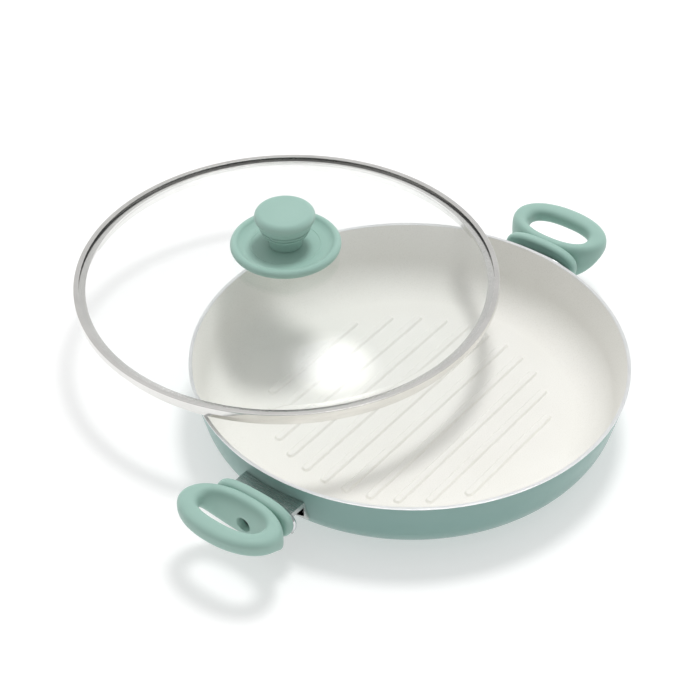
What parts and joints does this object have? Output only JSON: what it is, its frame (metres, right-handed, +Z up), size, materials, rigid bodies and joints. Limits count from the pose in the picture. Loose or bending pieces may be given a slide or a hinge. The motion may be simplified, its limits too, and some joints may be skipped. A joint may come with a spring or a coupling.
{
  "type": "round griddle pan with glass lid",
  "caption": "Round ribbed griddle pan with side loop handles on metal brackets and a domed glass lid with a knob, shown slid aside.",
  "frame": {"origin": "centre of the pan's flat underside, on the table", "axes": "+Z up; the two handles lie along X; the lid stands aside towards +Y and slides along a line 3.3 degrees off Y"},
  "size_m": [0.4236, 0.4124, 0.1177],
  "materials": {
    "enamel": "satin",
    "mint": "satin",
    "steel": "satin",
    "screw": "satin",
    "aluminium": "satin",
    "brass": "satin",
    "silicone": "matte",
    "glass": "gloss"
  },
  "bodies": {
    "pan": {"pan_body": "enamel", "left_bracket": "steel", "left_front_stud": "aluminium", "left_rear_stud": "aluminium", "left_heat_shield": "steel", "left_grip": "mint", "left_spring_washer": "screw", "left_handle_screw": "screw", "left_weld_nut": "screw", "right_bracket": "steel", "right_front_stud": "aluminium", "right_rear_stud": "aluminium", "right_heat_shield": "steel", "right_grip": "mint", "right_spring_washer": "screw", "right_handle_screw": "screw", "right_weld_nut": "screw"},
    "lid": {"glass_lid": "glass", "lid_band": "steel", "knob_skirt": "mint", "knob_grip": "mint", "knob_insert": "brass", "knob_screw": "screw", "knob_washer": "screw", "upper_seal": "silicone", "lower_seal": "silicone"}
  },
  "joints": [
    {"name": "lid_slide", "type": "slide", "parent": "pan", "child": "lid", "axis": [0.0576, 0.9983, 0], "range_m": [-0.1124, 0.2]}
  ]
}
